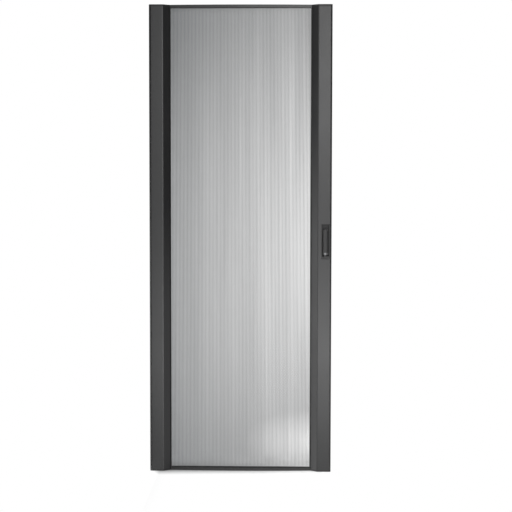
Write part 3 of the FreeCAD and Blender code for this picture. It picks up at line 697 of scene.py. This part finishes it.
def hole_cell(name, centre, panel):
    """One hole's share of the sheet: three bridges to its neighbours and the two corners between them."""
    half_width = panel.hole_width / 2
    half_height = panel.hole_height / 2
    clear_selection()
    bpy.ops.mesh.primitive_circle_add(
        vertices=HEX_SIDES, radius=half_width, fill_type="NOTHING", location=centre,
        rotation=(QUARTER_TURN, HEX_TURN / 2, 0),
    )
    cell = new_piece(name)
    edit(cell)
    bpy.ops.mesh.select_all(action="SELECT")
    stretch = half_height / (half_width * math.sin(HEX_TURN))
    bpy.ops.transform.resize(value=(1, 1, stretch), center_override=centre)
    finish_edit()
    across, up = Vector((half_width / 2, 0, 0)), Vector((0, 0, half_height))
    select_points(cell, [centre + side + end for side in (-across, across) for end in (-up, up)])
    bpy.ops.transform.resize(value=(panel.hole_flat / half_width, 1, 1), center_override=centre)
    finish_edit()
    right = centre + Vector((half_width, 0, 0))
    upper_right = centre + Vector((panel.hole_flat / 2, 0, half_height))
    lower_right = centre + Vector((panel.hole_flat / 2, 0, -half_height))
    upper_left = centre + Vector((-panel.hole_flat / 2, 0, half_height))
    level = panel.row_pitch - panel.hole_height
    web = panel.column_pitch - half_width - panel.hole_flat / 2
    above = Vector((0, 0, level))
    rising = Vector((web, 0, level / 2))
    falling = Vector((web, 0, -level / 2))
    bridges = (
        (upper_left, upper_right, above),
        (upper_right, right, rising),
        (right, lower_right, falling),
    )
    for start, end, step in bridges:
        select_points(cell, [start, end])
        bpy.ops.mesh.extrude_edges_move(TRANSFORM_OT_translate={"value": step})
        finish_edit()
    for corner, first, second in ((upper_right, above, rising), (right, rising, falling)):
        select_points(cell, [corner, corner + first, corner + second])
        bpy.ops.mesh.edge_face_add()
        finish_edit()
    return cell


def pierced_band(name, first_row, rows, total_rows, panel):
    """A band of the pierced sheet, trimmed where the plain edges cover it."""
    rise = panel.row_pitch
    middle = (PANEL_LOW + PANEL_HIGH) / 2
    shown = 1 + int((PANEL_HIGH.x - PANEL_LOW.x - 2 * panel.side_margin) / panel.column_pitch)
    columns = shown + 2
    left = middle.x - panel.column_pitch * (columns - 1) / 2
    low = middle.z + rise * (first_row - (total_rows - 1) / 2)
    sets = []
    for stagger in (0, 1):
        centre = Vector((left + stagger * panel.column_pitch, 0, low + stagger * rise / 2))
        cell = hole_cell(f"{name}_{stagger}", centre, panel)
        repeat(cell, rows, (0, 0, rise))
        repeat(cell, (columns + 1 - stagger) // 2, (2 * panel.column_pitch, 0, 0))
        sets.append(cell)
    only(sets[0])
    sets[1].select_set(True)
    bpy.ops.object.join()
    band = sets[0]
    band.name = band.data.name = name
    edit(band)
    bpy.ops.mesh.select_all(action="SELECT")
    bpy.ops.mesh.remove_doubles(threshold=MERGE_DISTANCE)
    trims = (
        ((PANEL_LOW.x + panel.gauge, 0, 0), (-1, 0, 0)),
        ((PANEL_HIGH.x - panel.gauge, 0, 0), (1, 0, 0)),
        ((0, 0, PANEL_LOW.z + panel.lower_rim / 2), (0, 0, -1)),
        ((0, 0, PANEL_HIGH.z - panel.upper_rim / 2), (0, 0, 1)),
    )
    for place, way in trims:
        bpy.ops.mesh.select_all(action="SELECT")
        bpy.ops.mesh.bisect(plane_co=place, plane_no=way, clear_outer=True)
    finish_edit()
    bow_sheet(band, 0.0)
    thicken(band, panel.gauge)
    map_sheet(band)
    return band


class RACKDOOR_OT_pierced_sheet(bpy.types.Operator):
    """Models the panel's six-sided holes, in staggered upright columns"""

    bl_idname = "rackdoor.pierced_sheet"
    bl_label = "Pierced sheet"

    def execute(self, context):
        panel = settings("panel")
        half_height = (PANEL_HIGH.z - PANEL_LOW.z) / 2
        rows = 1 + 2 * (1 + int(half_height / panel.row_pitch))
        starts = [round(rows * band / panel.bands) for band in range(panel.bands + 1)]
        for band, (first, after) in enumerate(zip(starts, starts[1:]), start=1):
            sheet = pierced_band(f"pierced_sheet_{band}", first, after - first, rows, panel)
            stand_for_panel(sheet)
        return {"FINISHED"}


def side_fold(name, edge, inward, panel):
    """The plain margin beside the holes and the flange that it turns back into."""
    height = PANEL_HIGH.z - PANEL_LOW.z
    middle = (PANEL_LOW.z + PANEL_HIGH.z) / 2
    radius = panel.fold_radius
    bend_end = bow_front(edge + inward * radius) - panel.overlap
    bend_start = bend_end + radius
    clear_selection()
    bpy.ops.mesh.primitive_plane_add(
        size=1, location=(edge, (bend_start + PANEL_HIGH.y) / 2, middle), rotation=(0, QUARTER_TURN, 0)
    )
    bpy.context.object.scale = (height, PANEL_HIGH.y - bend_start, 1)
    fold = new_piece(name)
    profile = [Vector((edge, bend_start, 0))]
    for step in range(1, FOLD_STEPS + 1):
        turn = QUARTER_TURN * step / FOLD_STEPS
        across = edge + inward * radius * (1 - math.cos(turn))
        profile.append(Vector((across, bend_start - radius * math.sin(turn), 0)))
    across = edge + inward * panel.side_margin
    profile.append(Vector((across, bow_front(across) - panel.overlap, 0)))
    select_points(fold, [profile[0] + Vector((0, 0, end)) for end in (PANEL_LOW.z, PANEL_HIGH.z)])
    for before, after in zip(profile, profile[1:]):
        bpy.ops.mesh.extrude_edges_move(TRANSFORM_OT_translate={"value": after - before})
    finish_edit()
    thicken(fold, panel.gauge + 2 * panel.overlap)
    return fold


def end_rim(name, low, height, panel):
    """The plain strip above or below the holes."""
    left = PANEL_LOW.x + panel.side_margin
    right = PANEL_HIGH.x - panel.side_margin
    clear_selection()
    bpy.ops.mesh.primitive_grid_add(
        x_subdivisions=RIM_STEPS, y_subdivisions=1, size=1,
        location=((left + right) / 2, 0, low + height / 2), rotation=(QUARTER_TURN, 0, 0),
    )
    bpy.context.object.scale = (right - left, height, 1)
    rim = new_piece(name)
    bow_sheet(rim, panel.overlap)
    thicken(rim, panel.gauge + 2 * panel.overlap)
    return rim


class RACKDOOR_OT_panel_edges(bpy.types.Operator):
    """Models the panel's plain edges: folded sides and the strips at both ends"""

    bl_idname = "rackdoor.panel_edges"
    bl_label = "Panel edges"

    def execute(self, context):
        panel = settings("panel")
        edges = [
            side_fold("panel_left_fold", PANEL_LOW.x, 1, panel),
            side_fold("panel_right_fold", PANEL_HIGH.x, -1, panel),
            end_rim("panel_lower_rim", PANEL_LOW.z, panel.lower_rim, panel),
            end_rim("panel_upper_rim", PANEL_HIGH.z - panel.upper_rim, panel.upper_rim, panel),
        ]
        for edge in edges:
            stand_for_panel(edge)
        return {"FINISHED"}


def stand_for_panel(obj):
    """A sheet piece takes the panel's place on the door and its powder coat."""
    dress(obj, "powder_coat")
    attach(obj, "door")
    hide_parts("perforated_panel")


def seen_rays(shader):
    """One for the rays that show the background: to the camera, in reflections and through glass."""
    kinds = ("Is Camera Ray", "Is Glossy Ray", "Is Transmission Ray")
    camera, glossy, through = (shader.add("LightPath", {}, {}, kind) for kind in kinds)
    return camera + glossy + through


def painted_glow(shader, spot, centre, reach):
    """Painted light: one at a place on the upright backdrop, fading to nothing round it."""
    across, up = centre
    wide, high = reach
    place = shader.add("Mapping", {}, {
        "Vector": spot, "Location": (-across / wide, 0, -up / high), "Scale": (1 / wide, 0, 1 / high),
    })
    return shader.add("TexGradient", {"gradient_type": "SPHERICAL"}, {"Vector": place}, "Fac")


def painted_light_streaks(shader):
    """A factor about one, with soft upright streaks that run through the painted light on the backdrop."""
    stage = settings("stage")
    lines = shader.noise(shader.place(LINE_STRETCH), scale=stage.line_scale, detail=3.0)
    return 1 + stage.line_depth * (2 * lines - 1)


def glow_share(shader):
    """The backdrop's share of plain white: painted light behind the door, a pool and a spot, the floor, and
    round the door.
    """
    stage = settings("stage")
    spot = shader.spot()
    # Painted light behind the door: a wide pool and a small spot, with upright streaks
    wide = stage.painted_pool_glow * painted_glow(shader, spot, stage.painted_pool_centre, stage.painted_pool_reach)
    painted_spot_share = stage.painted_spot_glow * painted_glow(shader, spot, stage.painted_spot_centre, stage.painted_spot_reach)
    before = shader.fade(shader.along(spot, "Y"), 0.0, -FLOOR_FADE)
    painted_light_share = (wide + painted_spot_share) * painted_light_streaks(shader)
    return painted_light_share + stage.floor_glow * before + clear_of_door(shader, spot)


def clear_of_door(shader, spot):
    """One where the backdrop is seen beside the door or above it, fading out behind the door. Where it
    fades out, a door-shaped grey patch is left: a painted shadow of the door, whose outline this mask
    draws, with the lamps' real shade on the paper inside it.
    """
    low, high = CAD_BOX
    half = (high.x - low.x) / 2
    away = abs(shader.along(spot, "X") - DOOR_MIDDLE.x)
    beside = shader.fade(away, half - EDGE_FADE, half)
    seen_top = high.z + TOP_RISE
    above = shader.fade(shader.along(spot, "Z"), seen_top, seen_top + TOP_FADE)
    return beside + above


def backdrop_paper():
    """Grey paper with a share of plain white where it is seen, clear from behind. Behind the door the white
    gives way to a painted shadow of the door, in which a painted pool of light and a painted light spot
    glow.
    """
    shader = new_shader("backdrop_paper")
    fibre = shader.noise(shader.place(), scale=30.0, detail=3.0)
    paper = settings("stage").paper
    matt = shader.add("BsdfPrincipled", {}, {
        "Base Color": shader.mottled(paper, fibre, low=0.97, high=1.03),
        "Roughness": 0.9,
        "Specular IOR Level": 0.1,
    })
    glow = shader.add("Emission", {}, {"Color": (1, 1, 1, 1), "Strength": 1.0})
    front = shader.add("MixShader", {}, {0: glow_share(shader) * seen_rays(shader), 1: matt, 2: glow})
    behind = shader.add("NewGeometry", {}, {}, "Backfacing")
    clear = shader.add("BsdfTransparent", {}, {})
    whole = shader.add("MixShader", {}, {0: behind, 1: front, 2: clear})
    shader.add("OutputMaterial", {}, {"Surface": whole})


def make_backdrop(stage):
    """A floor that curves up into a wall behind the door."""
    wall = CAD_BOX[1].y + stage.backdrop_gap
    ground = CAD_BOX[0].z - FLOOR_GAP
    clear_selection()
    bpy.ops.mesh.primitive_plane_add(size=1, location=(DOOR_MIDDLE.x, wall - FLOOR_LENGTH / 2, ground))
    bpy.context.object.scale = (BACKDROP_WIDTH, FLOOR_LENGTH, 1)
    backdrop = new_piece("backdrop")
    half = BACKDROP_WIDTH / 2
    ends = [Vector((DOOR_MIDDLE.x + side, wall, ground)) for side in (-half, half)]
    select_points(backdrop, ends)
    bpy.ops.mesh.extrude_edges_move(TRANSFORM_OT_translate={"value": (0, 0, WALL_HEIGHT)})
    finish_edit()
    select_points(backdrop, ends)
    bpy.ops.mesh.bevel(offset=COVE_RADIUS, segments=COVE_STEPS, affect="EDGES")
    finish_edit()
    turn_faces(backdrop, Vector((0, -1, 1)))
    only(backdrop)
    bpy.ops.object.shade_smooth_by_angle(angle=SMOOTH_ANGLE)
    backdrop_paper()
    dress(backdrop, "backdrop_paper")
    backdrop.visible_shadow = False


def add_lamp(kind, stage):
    """A rectangular lamp that looks at the door's middle."""
    place = Vector(getattr(stage, kind + "_place"))
    bpy.ops.object.light_add(type="AREA", location=DOOR_MIDDLE + place)
    lamp = bpy.context.object
    lamp.name = kind + "_lamp"
    lamp.rotation_euler = (-place).to_track_quat("-Z", "Y").to_euler()
    lamp.data.shape = "RECTANGLE"
    lamp.data.size, lamp.data.size_y = getattr(stage, kind + "_size")
    lamp.data.energy = getattr(stage, kind + "_power")


def add_flag(name, across, front, rear, foot, top):
    """A dark upright card that only reflections show, which draws the dark edges of the columns."""
    clear_selection()
    bpy.ops.mesh.primitive_plane_add(
        size=1, location=(across, (front + rear) / 2, (foot + top) / 2), rotation=(0, QUARTER_TURN, 0)
    )
    bpy.context.object.scale = (top - foot, rear - front, 1)
    flag = new_piece(name)
    dress(flag, "flag_cloth")
    for rays in ("camera", "diffuse", "shadow", "transmission"):
        setattr(flag, "visible_" + rays, False)


def place_flags(stage):
    """Dark cards beside the door, a near one at its left and a far one at its right."""
    cloth = new_shader("flag_cloth")
    cloth.surface({"Base Color": (0, 0, 0, 1), "Roughness": 1.0, "Specular IOR Level": 0.0})
    low, high = CAD_BOX
    left = low.x - stage.flag_gap
    right = high.x + stage.far_flag_gap
    rear = high.y + FLAG_REAR
    add_flag("left_flag", left, low.y - FLAG_FRONT, rear, low.z, FLAG_TOP)
    add_flag("right_flag", right, low.y - FAR_FLAG_FRONT, rear, FAR_FLAG_FOOT, FAR_FLAG_TOP)


def light_room(strength):
    """Even light from all round, with white for the rays that show the background."""
    world = bpy.data.worlds.new("Room")
    bpy.context.scene.world = world
    shader = Shader(world)
    level = strength + (1 - strength) * seen_rays(shader)
    light = shader.add("Background", {}, {"Color": (1, 1, 1, 1), "Strength": level})
    shader.add("OutputWorld", {}, {"Surface": light})


class RACKDOOR_OT_stage(bpy.types.Operator):
    """Sets up the backdrop, the lamps and the camera"""

    bl_idname = "rackdoor.stage"
    bl_label = "Studio stage"

    def execute(self, context):
        stage = settings("stage")
        scene = context.scene
        scene.view_settings.view_transform = "Standard"
        make_backdrop(stage)
        place_flags(stage)
        light_room(stage.room_light)
        for kind in ("key", "low_key", "strip", "rear"):
            add_lamp(kind, stage)
        back = Vector((
            math.sin(stage.yaw) * math.cos(stage.pitch),
            -math.cos(stage.yaw) * math.cos(stage.pitch),
            math.sin(stage.pitch),
        ))
        bpy.ops.object.camera_add(location=Vector(stage.aim) + stage.distance * back)
        camera = context.object
        camera.name = "photo_camera"
        camera.rotation_mode = "QUATERNION"
        level = (-back).to_track_quat("-Z", "Y")
        camera.rotation_quaternion = level @ Quaternion((0, 0, 1), stage.roll)
        camera.data.lens = stage.lens
        camera.data.clip_end = VIEW_END
        scene.camera = camera
        return {"FINISHED"}


class RACKDOOR_PT_door(bpy.types.Panel):
    """Lists the door's operators and sizes."""

    bl_label = "Rack Door"
    bl_idname = "RACKDOOR_PT_door"
    bl_space_type = "VIEW_3D"
    bl_region_type = "UI"
    bl_category = "Rack Door"

    def draw(self, context):
        for operator, group in STEPS:
            self.layout.operator(operator)
            sizes = settings(group)
            for name in sizes.bl_rna.properties.keys():
                if name not in ("rna_type", "name"):
                    self.layout.prop(sizes, name)


STEPS = (
    ("rackdoor.finishes", "finishes"),
    ("rackdoor.pierced_sheet", "panel"),
    ("rackdoor.panel_edges", "panel"),
    ("rackdoor.stage", "stage"),
)
FINISHES = (
    powder_coat,
    black_moulding,
    natural_nylon,
    zinc_plating,
    lock_plating,
    black_plating,
    black_rubber,
)
GROUPS = {"panel": RackDoorPanelSizes, "finishes": RackDoorFinishes, "stage": RackDoorStage}
CLASSES = (
    *GROUPS.values(),
    RACKDOOR_OT_finishes,
    RACKDOOR_OT_pierced_sheet,
    RACKDOOR_OT_panel_edges,
    RACKDOOR_OT_stage,
    RACKDOOR_PT_door,
)


def register():
    for kind in CLASSES:
        bpy.utils.register_class(kind)
    for name, kind in GROUPS.items():
        setattr(bpy.types.Scene, OWN_NAME + name, PointerProperty(type=kind))


def unregister():
    for name in GROUPS:
        delattr(bpy.types.Scene, OWN_NAME + name)
    for kind in reversed(CLASSES):
        bpy.utils.unregister_class(kind)


def main():
    register()
    bpy.ops.rackdoor.finishes()
    bpy.ops.rackdoor.pierced_sheet()
    bpy.ops.rackdoor.panel_edges()
    bpy.ops.rackdoor.stage()
    clear_selection()


if __name__ == "__main__":
    main()
